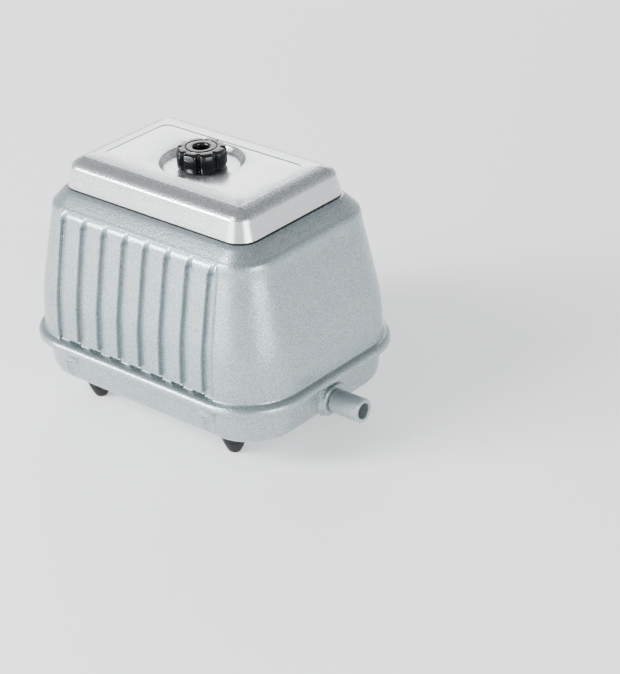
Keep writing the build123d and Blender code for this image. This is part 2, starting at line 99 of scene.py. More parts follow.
@dataclass
class Graph:
    """Adds and joins nodes in one tree."""

    tree: bpy.types.NodeTree
    column: int = 0

    def add(self, kind: str, **values: object) -> bpy.types.Node:
        """Adds a node.

        Args:
            kind: the node's type name.
            values: properties to set on it.
        Returns:
            The node.
        """
        node = self.tree.nodes.new(kind)
        node.location = (self.column * NODE_SPACING, 0)
        self.column += 1
        for name, value in values.items():
            setattr(node, name, value)
        return node

    def link(self, source: bpy.types.NodeSocket, target: bpy.types.NodeSocket) -> None:
        """Joins two sockets."""
        self.tree.links.new(source, target)

    def math(
        self, operation: str, first: object, second: object = 0.0, clamp: bool = False
    ) -> bpy.types.NodeSocket:
        """Adds a Math node.

        Args:
            operation: the sum to do.
            first, second: sockets or numbers.
            clamp: whether the result stays within 0 and 1.
        Returns:
            The result's socket.
        """
        node = self.add("ShaderNodeMath", operation=operation, use_clamp=clamp)
        for socket, value in zip(node.inputs, (first, second)):
            self.put(socket, value)
        return node.outputs[0]

    def put(self, socket: bpy.types.NodeSocket, value: object) -> None:
        """Links a socket into another, or sets its constant."""
        if isinstance(value, bpy.types.NodeSocket):
            self.link(value, socket)
        else:
            socket.default_value = value

    def mix(self, share: object, first: object, second: object) -> bpy.types.NodeSocket:
        """Mixes two colours.

        Args:
            share: how much of the second.
            first, second: sockets or colours.
        Returns:
            The mixed colour's socket.
        """
        node = self.add("ShaderNodeMix", data_type="RGBA")
        self.put(node.inputs["Factor"], share)
        self.put(node.inputs[6], first)
        self.put(node.inputs[7], second)
        return node.outputs[2]

    def ramp(self, value: bpy.types.NodeSocket, low: float, high: float) -> bpy.types.NodeSocket:
        """Stretches low..high to 0..1 smoothly.

        Args:
            value: the socket to stretch.
            low, high: the ends of the range.
        Returns:
            The stretched value's socket.
        """
        node = self.add("ShaderNodeMapRange", interpolation_type="SMOOTHSTEP")
        self.link(value, node.inputs["Value"])
        node.inputs["From Min"].default_value = low
        node.inputs["From Max"].default_value = high
        return node.outputs["Result"]

    def noise(
        self, vector: object, scale: object, detail: float = 2.0, rough: float = 0.5
    ) -> bpy.types.NodeSocket:
        """Adds a noise pattern.

        Args:
            vector: where it is read.
            scale: how fine it is.
            detail, rough: its octaves and their weight.
        Returns:
            The noise value's socket.
        """
        node = self.add("ShaderNodeTexNoise")
        self.put(node.inputs["Vector"], vector)
        self.put(node.inputs["Scale"], scale)
        node.inputs["Detail"].default_value = detail
        node.inputs["Roughness"].default_value = rough
        return node.outputs[0]


@dataclass
class Effect:
    """A shared effect: one node group with named inputs and outputs."""

    name: str
    inputs: Sequence[tuple[str, Socket, object]]
    outputs: Sequence[tuple[str, Socket]]
    fill: Callable[[Graph, bpy.types.Node, bpy.types.Node], None]
    tree: bpy.types.NodeTree = field(init=False)

    def __post_init__(self) -> None:
        """Makes the group, gives it its sockets and fills it."""
        self.tree = bpy.data.node_groups.new(self.name, "ShaderNodeTree")
        for name, kind, start in self.inputs:
            socket = self.tree.interface.new_socket(name, in_out="INPUT", socket_type=kind.value)
            if start is not None:
                socket.default_value = start
        for name, kind in self.outputs:
            self.tree.interface.new_socket(name, in_out="OUTPUT", socket_type=kind.value)
        graph = Graph(self.tree)
        source = graph.add("NodeGroupInput")
        sink = graph.add("NodeGroupOutput")
        self.fill(graph, source, sink)

    def place(self, graph: Graph, **values: object) -> bpy.types.Node:
        """Puts the effect in a material.

        Args:
            graph: the material's graph.
            values: inputs by name, with underscores for spaces.
        Returns:
            The group node.
        """
        node = graph.add("ShaderNodeGroup", node_tree=self.tree)
        for name, value in values.items():
            graph.put(node.inputs[name.replace("_", " ")], value)
        return node


def fill_hammer(graph: Graph, source: bpy.types.Node, sink: bpy.types.Node) -> None:
    """Hammered enamel: rounded pools of lighter paint with darker, lower seams between them.

    Band calms the mottling on level and upright faces, which leaves it on the rounded edge between them, and
    paints those faces lighter as a painted sheen.
    """
    vector, scale = source.outputs["Vector"], source.outputs["Scale"]
    shift = graph.add("ShaderNodeTexNoise")
    graph.link(vector, shift.inputs["Vector"])
    graph.link(graph.math("MULTIPLY", scale, 0.6), shift.inputs["Scale"])
    warp = graph.add("ShaderNodeVectorMath", operation="SCALE")
    graph.link(shift.outputs["Color"], warp.inputs[0])
    warp.inputs["Scale"].default_value = 2.2 * MM
    moved = graph.add("ShaderNodeVectorMath", operation="ADD")
    graph.link(vector, moved.inputs[0])
    graph.link(warp.outputs[0], moved.inputs[1])
    cells = graph.add("ShaderNodeTexVoronoi", feature="SMOOTH_F1")
    cells.inputs["Smoothness"].default_value = 0.6
    graph.link(moved.outputs[0], cells.inputs["Vector"])
    graph.link(scale, cells.inputs["Scale"])
    pools = graph.math("SUBTRACT", 1.0, graph.ramp(cells.outputs["Distance"], 0.12, 0.72))
    normal = graph.add("ShaderNodeSeparateXYZ")
    graph.link(graph.add("ShaderNodeNewGeometry").outputs["Normal"], normal.inputs[0])
    level = graph.ramp(normal.outputs["Z"], 0.985, 0.998)
    upright = graph.math("SUBTRACT", 1.0, graph.ramp(normal.outputs["Z"], 0.3, 0.5))
    calm_and_sheen = graph.math("MULTIPLY", graph.math("ADD", level, upright), source.outputs["Band"], clamp=True)
    lively = graph.math("SUBTRACT", 1.0, graph.math("MULTIPLY", calm_and_sheen, 0.85))
    flake = graph.math("MULTIPLY", graph.noise(vector, 2600.0, 2.0), 0.2)
    height = graph.math("MULTIPLY", graph.math("ADD", pools, flake), lively)
    broad = graph.math("MULTIPLY", graph.noise(vector, 26.0, 3.0), 0.12)
    share = graph.math("MULTIPLY", graph.math("MULTIPLY", pools, source.outputs["Contrast"]), lively)
    mottled = graph.math("ADD", share, broad)
    # painted sheen: level and upright faces are lifted toward the light pool colour
    tone = graph.math("ADD", mottled, graph.math("MULTIPLY", calm_and_sheen, 0.8), clamp=True)
    colour = graph.mix(tone, source.outputs["Seam"], source.outputs["Pool"])
    change = graph.math("MULTIPLY", graph.math("SUBTRACT", 0.5, pools), 0.10)
    graph.link(height, sink.inputs["Height"])
    graph.link(colour, sink.inputs["Colour"])
    graph.link(graph.math("ADD", source.outputs["Roughness"], change), sink.inputs["Roughness"])


def fill_wear(graph: Graph, source: bpy.types.Node, sink: bpy.types.Node) -> None:
    """Edge wear: a broken mask on the sharpest ridges."""
    geometry = graph.add("ShaderNodeNewGeometry")
    ridge = graph.ramp(geometry.outputs["Pointiness"], 0.53, 0.60)
    broken = graph.ramp(graph.noise(source.outputs["Vector"], 190.0, 6.0, 0.7), 0.46, 0.62)
    mask = graph.math("MULTIPLY", graph.math("MULTIPLY", ridge, broken), source.outputs["Amount"], clamp=True)
    graph.link(mask, sink.inputs["Mask"])


def fill_dust(graph: Graph, source: bpy.types.Node, sink: bpy.types.Node) -> None:
    """Dust: a thin broken film on faces that look up."""
    geometry = graph.add("ShaderNodeNewGeometry")
    normal = graph.add("ShaderNodeSeparateXYZ")
    graph.link(geometry.outputs["Normal"], normal.inputs[0])
    facing = graph.ramp(normal.outputs["Z"], 0.35, 1.0)
    patchy = graph.ramp(graph.noise(source.outputs["Vector"], 38.0, 8.0, 0.65), 0.42, 0.72)
    film = graph.math("MULTIPLY", facing, patchy)
    mask = graph.math("MULTIPLY", film, source.outputs["Amount"], clamp=True)
    graph.link(graph.mix(mask, source.outputs["Colour"], DUST_COLOUR), sink.inputs["Colour"])
    dulling = graph.math("MULTIPLY", mask, 0.35)
    graph.link(graph.math("ADD", source.outputs["Roughness"], dulling, clamp=True), sink.inputs["Roughness"])


def fill_grain(graph: Graph, source: bpy.types.Node, sink: bpy.types.Node) -> None:
    """Grain: fine moulded or worked texture with slow changes of tone."""
    fine = graph.noise(source.outputs["Vector"], source.outputs["Scale"], 4.0, 0.6)
    slow = graph.noise(source.outputs["Vector"], 45.0, 3.0)
    graph.link(fine, sink.inputs["Height"])
    tone = graph.math("MULTIPLY", graph.math("ADD", slow, fine), 0.5)
    graph.link(graph.mix(tone, source.outputs["Dark"], source.outputs["Light"]), sink.inputs["Colour"])
    change = graph.math("MULTIPLY", graph.math("SUBTRACT", slow, 0.5), 0.22)
    graph.link(graph.math("ADD", source.outputs["Roughness"], change, clamp=True), sink.inputs["Roughness"])


@dataclass
class Effects:
    """The scene's shared node groups, each built once."""

    hammer: Effect = field(default_factory=lambda: Effect(
        "Hammered mottling",
        [("Vector", Socket.VECTOR, None), ("Scale", Socket.FLOAT, 300.0), ("Contrast", Socket.FLOAT, 0.6),
         ("Seam", Socket.COLOUR, None), ("Pool", Socket.COLOUR, None), ("Roughness", Socket.FLOAT, 0.35),
         ("Band", Socket.FLOAT, 0.0)],
        [("Height", Socket.FLOAT), ("Colour", Socket.COLOUR), ("Roughness", Socket.FLOAT)], fill_hammer))
    wear: Effect = field(default_factory=lambda: Effect(
        "Edge wear",
        [("Vector", Socket.VECTOR, None), ("Amount", Socket.FLOAT, 0.5)],
        [("Mask", Socket.FLOAT)], fill_wear))
    dust: Effect = field(default_factory=lambda: Effect(
        "Dust film",
        [("Vector", Socket.VECTOR, None), ("Colour", Socket.COLOUR, None), ("Roughness", Socket.FLOAT, 0.4),
         ("Amount", Socket.FLOAT, 0.2)],
        [("Colour", Socket.COLOUR), ("Roughness", Socket.FLOAT)], fill_dust))
    grain: Effect = field(default_factory=lambda: Effect(
        "Grain",
        [("Vector", Socket.VECTOR, None), ("Scale", Socket.FLOAT, 900.0), ("Dark", Socket.COLOUR, None),
         ("Light", Socket.COLOUR, None), ("Roughness", Socket.FLOAT, 0.5)],
        [("Height", Socket.FLOAT), ("Colour", Socket.COLOUR), ("Roughness", Socket.FLOAT)], fill_grain))


# ---- Finishes -------------------------------------------------------------------------------------------
def scaled(colour: Colour, factor: float) -> Colour:
    """A colour made lighter or darker, held within 1."""
    red, green, blue = (min(1.0, part * factor) for part in colour[:3])
    return red, green, blue, 1.0


@dataclass(frozen=True)
class Finish:
    """What every finish has: its slot, its two tones and how it takes light.

    Fields:
        slot: the record's material slot.
        dark, light: the two tones that the pattern mixes.
        bump, bump_mm: how strongly the pattern's height tilts the surface, and its depth.
        dust, wear, crevice: shares of dust film, worn ridges and painted shade that darkens crevices.
        scale: how fine the pattern is.
    """

    slot: str
    dark: Colour
    light: Colour
    roughness: float
    metallic: float = 0.0
    bump: float = 0.2
    bump_mm: float = 0.05
    dust: float = 0.1
    wear: float = 0.0
    coat: float = 0.0
    specular: float = 0.5
    scale: float = 900.0
    painted_crevice_shade: float = 0.0

    def pattern(self, graph: Graph, effects: Effects, vector: bpy.types.NodeSocket) -> bpy.types.Node:
        """Places the effect that gives colour, roughness and height.

        Args:
            graph: the material's graph.
            effects: the shared effects.
            vector: the pattern's coordinates.
        Returns:
            The effect's node.
        """
        return effects.grain.place(
            graph, Vector=vector, Scale=self.scale, Dark=self.dark, Light=self.light,
            Roughness=self.roughness)

    def build(self, effects: Effects) -> bpy.types.Material:
        """Makes the material.

        Args:
            effects: the shared effects.
        Returns:
            The material.
        """
        material = bpy.data.materials.new(self.slot)
        material.use_nodes = True
        graph = Graph(material.node_tree)
        graph.tree.nodes.clear()
        vector = graph.add("ShaderNodeTexCoord").outputs["Object"]
        pattern = self.pattern(graph, effects, vector)
        colour, rough = pattern.outputs["Colour"], pattern.outputs["Roughness"]
        shader = graph.add("ShaderNodeBsdfPrincipled")
        if self.wear > 0:
            mask = effects.wear.place(graph, Vector=vector, Amount=self.wear).outputs["Mask"]
            colour = graph.mix(mask, colour, scaled(self.light, 1.5))
        # painted shade: ambient occlusion darkens the colour towards the dark tone in crevices, channels and
        # pockets
        if self.painted_crevice_shade > 0:
            occlusion_probe = graph.add("ShaderNodeAmbientOcclusion", samples=6)
            occlusion_probe.inputs["Distance"].default_value = PAINTED_CREVICE_SHADE_REACH
            share = graph.math("SUBTRACT", 1.0, graph.ramp(occlusion_probe.outputs["AO"], 0.35, 0.9))
            shade = graph.math("MULTIPLY", share, self.painted_crevice_shade, clamp=True)
            colour = graph.mix(shade, colour, scaled(self.dark, 0.3))
        if self.dust > 0:
            film = effects.dust.place(graph, Vector=vector, Colour=colour, Roughness=rough, Amount=self.dust)
            colour, rough = film.outputs["Colour"], film.outputs["Roughness"]
        bump = graph.add("ShaderNodeBump")
        bump.inputs["Strength"].default_value = self.bump
        bump.inputs["Distance"].default_value = self.bump_mm * MM
        graph.link(pattern.outputs["Height"], bump.inputs["Height"])
        graph.link(bump.outputs["Normal"], shader.inputs["Normal"])
        graph.link(colour, shader.inputs["Base Color"])
        graph.link(rough, shader.inputs["Roughness"])
        shader.inputs["Metallic"].default_value = self.metallic
        shader.inputs["Coat Weight"].default_value = self.coat
        shader.inputs["Coat Roughness"].default_value = COAT_ROUGHNESS
        shader.inputs["Specular IOR Level"].default_value = self.specular
        sink = graph.add("ShaderNodeOutputMaterial")
        graph.link(shader.outputs[0], sink.inputs["Surface"])
        return material


@dataclass(frozen=True)
class HammeredFinish(Finish):
    """Metallic hammered enamel."""

    contrast: float = 0.6
    # band: calms the mottling on flat faces and paints them lighter as a painted sheen
    calm_and_sheen_band: bool = False

    def pattern(self, graph: Graph, effects: Effects, vector: bpy.types.NodeSocket) -> bpy.types.Node:
        """Places the hammered mottling. Args and Returns as in Finish."""
        return effects.hammer.place(
            graph, Vector=vector, Scale=self.scale, Contrast=self.contrast, Seam=self.dark, Pool=self.light,
            Roughness=self.roughness, Band=1.0 if self.calm_and_sheen_band else 0.0)


FINISHES: tuple[Finish, ...] = (
    HammeredFinish("hammered_paint", (0.25, 0.30, 0.32, 1), (0.50, 0.58, 0.605, 1), 0.28, metallic=0.75,
                   bump=0.6, bump_mm=0.11, scale=800, coat=0.25, dust=0.0, wear=0.15, contrast=0.6,
                   painted_crevice_shade=0.4),
    HammeredFinish("cover_paint", (0.40, 0.425, 0.435, 1), (0.70, 0.72, 0.73, 1), 0.24, metallic=0.85,
                   bump=0.6, bump_mm=0.10, scale=620, coat=0.3, dust=0.0, wear=0.1, contrast=0.75, calm_and_sheen_band=True),
    HammeredFinish("spigot_paint", (0.30, 0.34, 0.36, 1), (0.42, 0.47, 0.49, 1), 0.4, metallic=0.6,
                   bump=0.2, scale=900, coat=0.2, dust=0.0, wear=0.3),
    Finish("black_gloss", (0.003, 0.003, 0.0035, 1), (0.007, 0.007, 0.008, 1), 0.09,
           bump=0.04, dust=0.0, scale=500, specular=0.45),
    Finish("black_rubber", (0.004, 0.004, 0.0045, 1), (0.010, 0.010, 0.011, 1), 0.5,
           bump=0.3, scale=1600, specular=0.22),
    Finish("flap_rubber", (0.02, 0.02, 0.022, 1), (0.05, 0.05, 0.055, 1), 0.6, scale=1600),
    Finish("black_plastic", (0.015, 0.015, 0.017, 1), (0.035, 0.035, 0.038, 1), 0.42, bump=0.25, scale=1300),
    Finish("white_plastic", (0.62, 0.61, 0.57, 1), (0.80, 0.79, 0.75, 1), 0.45, bump=0.15, scale=1300),
    Finish("head_plastic", (0.07, 0.08, 0.09, 1), (0.13, 0.14, 0.15, 1), 0.5, bump=0.25, scale=1300),
    Finish("zinc_steel", (0.66, 0.66, 0.65, 1), (0.92, 0.92, 0.91, 1), 0.22, metallic=1.0,
           bump=0.1, dust=0.05, scale=1800),
    Finish("brass", (0.62, 0.45, 0.20, 1), (0.80, 0.62, 0.32, 1), 0.28, metallic=1.0, bump=0.1, scale=1500),
    Finish("plain_aluminium", (0.60, 0.61, 0.62, 1), (0.80, 0.81, 0.82, 1), 0.38, metallic=1.0,
           bump=0.15, scale=1500),
    Finish("core_iron", (0.13, 0.13, 0.14, 1), (0.27, 0.27, 0.28, 1), 0.5, metallic=0.9,
           bump=0.3, scale=1200),
    Finish("magnet", (0.06, 0.06, 0.065, 1), (0.12, 0.12, 0.125, 1), 0.6, metallic=0.2, scale=1500),
    Finish("copper_wire", (0.48, 0.17, 0.07, 1), (0.78, 0.36, 0.16, 1), 0.33, metallic=0.9,
           bump=0.4, bump_mm=0.2, scale=700),
    Finish("foam", (0.03, 0.033, 0.036, 1), (0.11, 0.118, 0.125, 1), 0.95,
           bump=1.0, bump_mm=0.9, dust=0.2, scale=420, specular=0.2),
)


# ---- Swept and turned shapes ----------------------------------------------------------------------------
class Side(Enum):
    """Which part of the plan a station is on."""

    RIGHT = 0
    BACK = 1
    LEFT = 2
    FRONT = 3
    CORNER = 4


@dataclass(frozen=True)
class Station:
    """One place round a rounded rectangle's plan.

    Fields:
        share: the core point, as shares of the core's half sizes.
        out: the outward direction.
        along: the place's X or Y in millimetres, used by relief.
        side: the side that relief counts it on.
    """

    share: tuple[float, float]
    out: tuple[float, float]
    along: float
    side: Side


@dataclass(frozen=True)
class Row:
    """One level of a swept wall: an offset from a core rectangle, or a circle."""

    z: float
    rho: float
    core: tuple[float, float] | None = None
    relief: bool = False
    circle: bool = False


def extruded(
    bm: bmesh.types.BMesh, loop: list[bmesh.types.BMVert], edges: list[bmesh.types.BMEdge]
) -> tuple[list[bmesh.types.BMVert], list[bmesh.types.BMEdge]]:
    """Extrudes a closed loop once.

    Args:
        bm: the mesh to draw in.
        loop, edges: the loop's vertices in order, and its edges.
    Returns:
        The new loop's vertices, in the same order, and its edges.
    """
    number = {v: i for i, v in enumerate(loop)}
    made = bmesh.ops.extrude_edge_only(bm, edges=edges)["geom"]
    fresh = {}
    for v in made:
        if isinstance(v, bmesh.types.BMVert):
            index = next(number[e.other_vert(v)] for e in v.link_edges if e.other_vert(v) in number)
            fresh[index] = v
    rims = [e for e in made if isinstance(e, bmesh.types.BMEdge) and all(v not in number for v in e.verts)]
    return [fresh[i] for i in range(len(fresh))], rims


@dataclass
class Plan:
    """The stations round a core rectangle."""

    core: tuple[float, float]
    nominal: float
    fine_x: Sequence[float] = ()
    side_steps: int = 10
    corner_degrees: Sequence[float] = tuple(range(6, 90, 6))
    stations: list[Station] = field(init=False)

    def __post_init__(self) -> None:
        """Lists the stations, from the right side round by the back."""
        cx, cy = self.core
        xs = sorted({round(x, 3) for x in (*self.fine_x, -cx, cx) if abs(x) <= cx})
        if not self.fine_x:
            xs = [-cx + 2 * cx * i / self.side_steps for i in range(self.side_steps + 1)]
        ys = [-cy + 2 * cy * i / self.side_steps for i in range(self.side_steps + 1)]
        made = [Station((1, y / cy), (1, 0), y, Side.RIGHT) for y in ys]
        made += self.corner(0, (1, 1))
        made += [Station((x / cx, 1), (0, 1), x, Side.BACK) for x in reversed(xs)]
        made += self.corner(90, (-1, 1))
        made += [Station((-1, y / cy), (-1, 0), y, Side.LEFT) for y in reversed(ys)]
        made += self.corner(180, (-1, -1))
        made += [Station((x / cx, -1), (0, -1), x, Side.FRONT) for x in xs]
        made += self.corner(270, (1, -1))
        self.stations = made

    def corner(self, start: int, share: tuple[int, int]) -> list[Station]:
        """Stations round one corner; those near the front and back faces count as on them.

        Args:
            start: the corner's first direction in degrees.
            share: which corner it is.
        Returns:
            Its stations.
        """
        made = []
        for degrees in self.corner_degrees:
            angle = math.radians(start + degrees)
            out = (math.cos(angle), math.sin(angle))
            along = share[0] * self.core[0] + self.nominal * out[0]
            side = Side.CORNER
            if abs(out[1]) > 0.95:
                side = Side.BACK if out[1] > 0 else Side.FRONT
            made.append(Station(share, out, along, side))
        return made

    def place(self, station: Station, row: Row, relief: Relief | None) -> Vector:
        """Where a station is on a row.

        Args:
            station, row: which place and level.
            relief: extra offset by place, or None.
        Returns:
            The point in the frame.
        """
        core = row.core or self.core
        if row.circle:
            across, up = (share * half + out for share, half, out in zip(station.share, core, station.out))
            angle = math.atan2(up, across)
            return metres(row.rho * math.cos(angle), row.rho * math.sin(angle), row.z)
        rho = row.rho + (relief(station, row.z) if relief and row.relief else 0.0)
        x = station.share[0] * core[0] + rho * station.out[0]
        return metres(x, station.share[1] * core[1] + rho * station.out[1], row.z)

    def sweep(self, bm: bmesh.types.BMesh, rows: Sequence[Row], relief: Relief | None = None) -> None:
        """Draws the plan's loop at the first row and extrudes it from row to row, and back to the first.

        Args:
            bm: the mesh to draw in.
            rows: the levels in order.
            relief: extra offset by place, or None.
        """
        loop = [bm.verts.new(self.place(s, rows[0], relief)) for s in self.stations]
        edges = [bm.edges.new((v, loop[i - 1])) for i, v in enumerate(loop)]
        for row in [*rows[1:], rows[0]]:
            loop, edges = extruded(bm, loop, edges)
            for station, v in zip(self.stations, loop):
                v.co = self.place(station, row, relief)


def smooth_curve(points: Line, steps: int) -> list[tuple[float, float]]:
    """Rounds a line of points with Catmull-Rom pieces.

    Args:
        points: the points to pass through.
        steps: pieces between each two.
    Returns:
        The finer line.
    """
    ends = [points[0], *points, points[-1]]
    made = []
    for a, b, c, d in zip(ends, ends[1:], ends[2:], ends[3:]):
        for i in range(steps):
            t = i / steps
            made.append(tuple(
                q + 0.5 * t * (r - p + t * (2 * p - 5 * q + 4 * r - s + t * (3 * q - p - 3 * r + s)))
                for p, q, r, s in zip(a, b, c, d)))
    made.append(points[-1])
    return made


def spin_about_z(bm: bmesh.types.BMesh, points: Line, centre: tuple[float, float], steps: int) -> None:
    """Turns a (radius, z) line about an upright axis.

    Args:
        bm: the mesh to draw in.
        points: the line, in millimetres; both ends lie on the axis or meet.
        centre: the axis's X and Y.
        steps: pieces round the turn.
    """
    verts = [bm.verts.new(metres(centre[0] + r, centre[1], z)) for r, z in points]
    edges = [bm.edges.new(pair) for pair in zip(verts, verts[1:])]
    bmesh.ops.spin(bm, geom=verts + edges, cent=metres(*centre, 0), axis=(0, 0, 1), angle=math.tau,
                   steps=steps, use_merge=True)


@dataclass
class Piece:
    """A finished piece of the pump: mesh, body, slot and the CAD nodes it stands for."""

    name: str
    body: str
    slot: str
    stands_for: tuple[str, ...]
    sharp_degrees: float = 38.0

    def draw(self, bm: bmesh.types.BMesh) -> None:
        """Draws the piece's mesh. Subclasses fill this in."""
        raise NotImplementedError

    def join(self, piece: bpy.types.Object) -> None:
        """Gives the object to its body.

        Args:
            piece: the finished object.
        """
        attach(piece, self.body)

    def build(self, materials: dict[str, bpy.types.Material]) -> bpy.types.Object:
        """Makes the object and gives it to its body.

        Args:
            materials: the finishes by slot.
        Returns:
            The object.
        """
        bm = bmesh.new()
        self.draw(bm)
        bmesh.ops.remove_doubles(bm, verts=bm.verts[:], dist=1e-6)
        bmesh.ops.recalc_face_normals(bm, faces=bm.faces[:])
        limit = math.radians(self.sharp_degrees)
        for face in bm.faces:
            face.smooth = True
        for edge in bm.edges:
            edge.smooth = len(edge.link_faces) != 2 or edge.calc_face_angle(0.0) < limit
        mesh = bpy.data.meshes.new(self.name)
        bm.to_mesh(mesh)
        bm.free()
        piece = bpy.data.objects.new(self.name, mesh)
        bpy.context.scene.collection.objects.link(piece)
        mesh.materials.append(materials[self.slot])
        self.join(piece)
        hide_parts(*self.stands_for)
        return piece


# ---- The housing ----------------------------------------------------------------------------------------
def clamp(value: float) -> float:
    """Holds a number within 0 and 1."""
    return max(0.0, min(1.0, value))


def eased(value: float) -> float:
    """Smoothstep of a number held within 0 and 1."""
    t = clamp(value)
    return t * t * (3 - 2 * t)


@dataclass
class Housing(Piece):
    """Upper housing: flange, undercut, ribbed walls, shoulder and rim.

    Fields:
        grooves, pitch, half_top, half_floor, depth: the upright grooves, with their half widths.
        pad_half, pad_proud, pad_edge, pad_top, pad_round: the raised pad that the grooves cut, how it ends at
            the sides, and the level and height of its rounded top.
        pocket_top, pocket_depth: the pockets at the ribs' feet.
        taper_top, taper_length: where the grooves run out in points.
        wall: the outer wall as (offset, level).
    """

    grooves: int = 8
    pitch: float = 22.7
    half_top: float = 4.9
    half_floor: float = 3.5
    depth: float = 2.0
    pad_half: float = 86.0
    pad_proud: float = 2.0
    pad_edge: float = 2.4
    pad_top: float = 164.6
    pad_round: float = 8.5
    pocket_top: float = 67.5
    pocket_depth: float = 3.9
    taper_top: float = 174.0
    taper_length: float = 11.0
    wall: Line = (
        (46.3, 74), (45, 95), (43.4, 107), (39.5, 127), (36.2, 144), (32.5, 161.5), (31, 171.5), (27.5, 176),
        (21, 182.5), (18, 184.6))

    def groove_xs(self) -> list[float]:
        """The grooves' middles."""
        return [(i - (self.grooves - 1) / 2) * self.pitch for i in range(self.grooves)]

    def fine_xs(self) -> list[float]:
        """Where the front and back need vertices."""
        offsets = (0, 1.0, 1.9, 2.7, 3.2, 3.5, 3.8, 4.15, 4.5, 4.8, 5.1, 5.6, 8.4)
        return [x + sign * o for x in self.groove_xs() for o in offsets for sign in (1, -1)]

    def relief(self, station: Station, z: float) -> float:
        """Extra offset of the wall: the pad, its grooves and the webs under them.

        Args:
            station: the place round the plan.
            z: the level in millimetres.
        Returns:
            The offset in millimetres.
        """
        if station.side not in (Side.FRONT, Side.BACK):
            return 0.0
        near = min(abs(station.along - x) for x in self.groove_xs())
        last = self.groove_xs()[-1]
        if z < self.pocket_top:
            if abs(station.along) > last + self.half_top:
                return 0.0
            if abs(station.along) > last:
                return -self.depth
            return -self.depth - (self.pocket_depth - self.depth) * eased((near - self.half_top + 0.3) / 0.7)
        ends = eased((self.pad_half - abs(station.along)) / self.pad_edge)
        pad = self.pad_proud * ends * (1 - clamp((z - self.pad_top) / self.pad_round) ** 2.2)
        taper = clamp((self.taper_top - z) / self.taper_length)
        top, floor = self.half_top * taper + 0.21, self.half_floor * taper
        cut = eased((top - near) / (top - floor)) * taper
        return pad - (self.depth + pad) * cut

    def rows(self) -> list[Row]:
        """The closed section, from the flange's underside round to the inner wall."""
        flange = [(38, 55.5), (51.4, 55.5), (52.1, 55.7), (52.5, 56.3), (52.5, 57.4), (52.4, 58.6)]
        flange += [(52.0, 59.8), (51.3, 60.8), (50.4, 61.6), (49.3, 62.2), (48.2, 62.5), (47.4, 62.75)]
        made = [Row(z, rho) for rho, z in flange]
        foot = [(46.8, 63.1), (46.5, 63.6), (46.35, 64.4)]
        foot += [(46.3, z) for z in (65.6, 67.2, 67.49, 67.5, 67.9, 71.0)]
        made += [Row(z, rho, relief=True) for rho, z in foot]
        made += [Row(z, rho, relief=True) for rho, z in smooth_curve(self.wall, 8)]
        rim = [(17.2, 185), (9.6, 185), (9.1, 184.6), (9, 184), (9, 171), (12.5, 171), (12.5, 181.5)]
        rim += [(15, 181.5), (17.5, 179.3), (23.5, 172.6), (27.6, 161.5), (31.3, 144), (34.6, 127)]
        rim += [(38.5, 107), (40.1, 95), (41.4, 74), (41.4, 70), (38, 66)]
        return made + [Row(z, rho) for rho, z in rim]

    def draw(self, bm: bmesh.types.BMesh) -> None:
        """Sweeps the section round the plan."""
        near_face = (0.8, 1.6, 2.2, 2.7, 3.2, 3.7, 4.2, 4.7, 5.4, 7, 10)
        degrees = (*near_face, *range(14, 78, 4), *(90 - d for d in reversed(near_face)))
        plan = Plan((82.5, 46.5), 46.0, self.fine_xs(), 14, degrees)
        plan.sweep(bm, self.rows(), self.relief)
        lie_down = Matrix.Rotation(-math.pi / 2, 4, "Y")
        bmesh.ops.create_cone(
            bm, cap_ends=True, segments=48, radius1=12 * MM, radius2=11.6 * MM, depth=6 * MM,
            matrix=Matrix.Translation(metres(-127.0, 0, 80)) @ lie_down)


